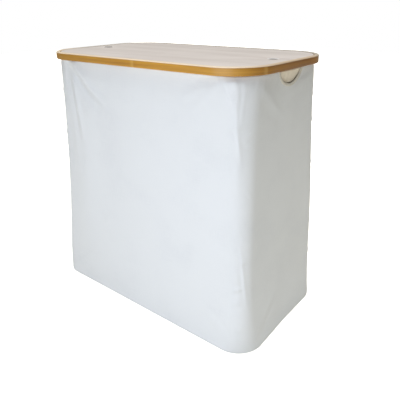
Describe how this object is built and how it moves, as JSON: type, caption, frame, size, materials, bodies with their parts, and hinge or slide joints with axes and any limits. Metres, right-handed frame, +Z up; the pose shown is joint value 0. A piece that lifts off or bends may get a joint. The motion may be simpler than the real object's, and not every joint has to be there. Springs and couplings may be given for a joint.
{
  "type": "laundry hamper",
  "caption": "Divided laundry hamper: a canvas sleeve on a bent bamboo rim, corner poles, removable liner bags and a split lid whose leaves hinge up at the middle.",
  "frame": {"origin": "centre of the footprint, on the floor", "axes": "+Z up, +X along the long side towards the right bin, +Y towards the back"},
  "size_m": [0.606, 0.338, 0.6],
  "materials": {
    "bamboo": "clear-lacquered bent bamboo, honey brown",
    "pale_bamboo": "sanded bamboo, unfinished",
    "lid_wood": "whitewashed board, pale pinkish grey, fine grain along X",
    "canvas": "cool white coated canvas, fine plain weave",
    "liner": "beige cotton-blend lining cloth",
    "webbing": "cream woven tape",
    "board": "medium-density fibreboard",
    "plastic": "white moulded plastic",
    "hook_tape": "white hook tape",
    "steel": "zinc-plated steel"
  },
  "bodies": {
    "hamper_body": {"base_board": "board", "canvas_floor": "canvas", "canvas_wall": "canvas", "centre_rail": "pale_bamboo", "corner_pole_back_left": "pale_bamboo", "corner_pole_back_right": "pale_bamboo", "corner_pole_front_left": "pale_bamboo", "corner_pole_front_right": "pale_bamboo", "hand_binding_left": "webbing", "hand_binding_right": "webbing", "hinge_web": "webbing", "hook_tape_left": "hook_tape", "hook_tape_right": "hook_tape", "ledge_ring": "pale_bamboo", "liner_bag_left": "liner", "liner_bag_right": "liner", "liner_handle_left_back": "webbing", "liner_handle_left_front": "webbing", "liner_handle_right_back": "webbing", "liner_handle_right_front": "webbing", "pole_cap_back_left": "plastic", "pole_cap_back_right": "plastic", "pole_cap_front_left": "plastic", "pole_cap_front_right": "plastic", "pole_cap_screw_1": "steel", "pole_cap_screw_2": "steel", "pole_cap_screw_3": "steel", "pole_cap_screw_4": "steel", "pole_foot_back_left": "plastic", "pole_foot_back_right": "plastic", "pole_foot_front_left": "plastic", "pole_foot_front_right": "plastic", "pole_foot_screw_1": "steel", "pole_foot_screw_2": "steel", "pole_foot_screw_3": "steel", "pole_foot_screw_4": "steel", "rail_dowel_1": "pale_bamboo", "rail_dowel_2": "pale_bamboo", "rail_dowel_3": "pale_bamboo", "rail_dowel_4": "pale_bamboo", "rim_band": "bamboo", "ring_screw_1": "steel", "ring_screw_10": "steel", "ring_screw_2": "steel", "ring_screw_3": "steel", "ring_screw_4": "steel", "ring_screw_5": "steel", "ring_screw_6": "steel", "ring_screw_7": "steel", "ring_screw_8": "steel", "ring_screw_9": "steel"},
    "lid_left": {"lid_leaf_left": "lid_wood", "hinge_flap_left": "webbing"},
    "lid_right": {"lid_leaf_right": "lid_wood", "hinge_flap_right": "webbing"}
  },
  "joints": [
    {"name": "lid_left_hinge", "type": "hinge", "parent": "hamper_body", "child": "lid_left", "pos_m": [-0.0007, 0, 0.599], "axis": [0, 1, 0], "range_deg": [0, 90]},
    {"name": "lid_right_hinge", "type": "hinge", "parent": "hamper_body", "child": "lid_right", "pos_m": [0.0007, 0, 0.599], "axis": [0, -1, 0], "range_deg": [0, 90]}
  ]
}
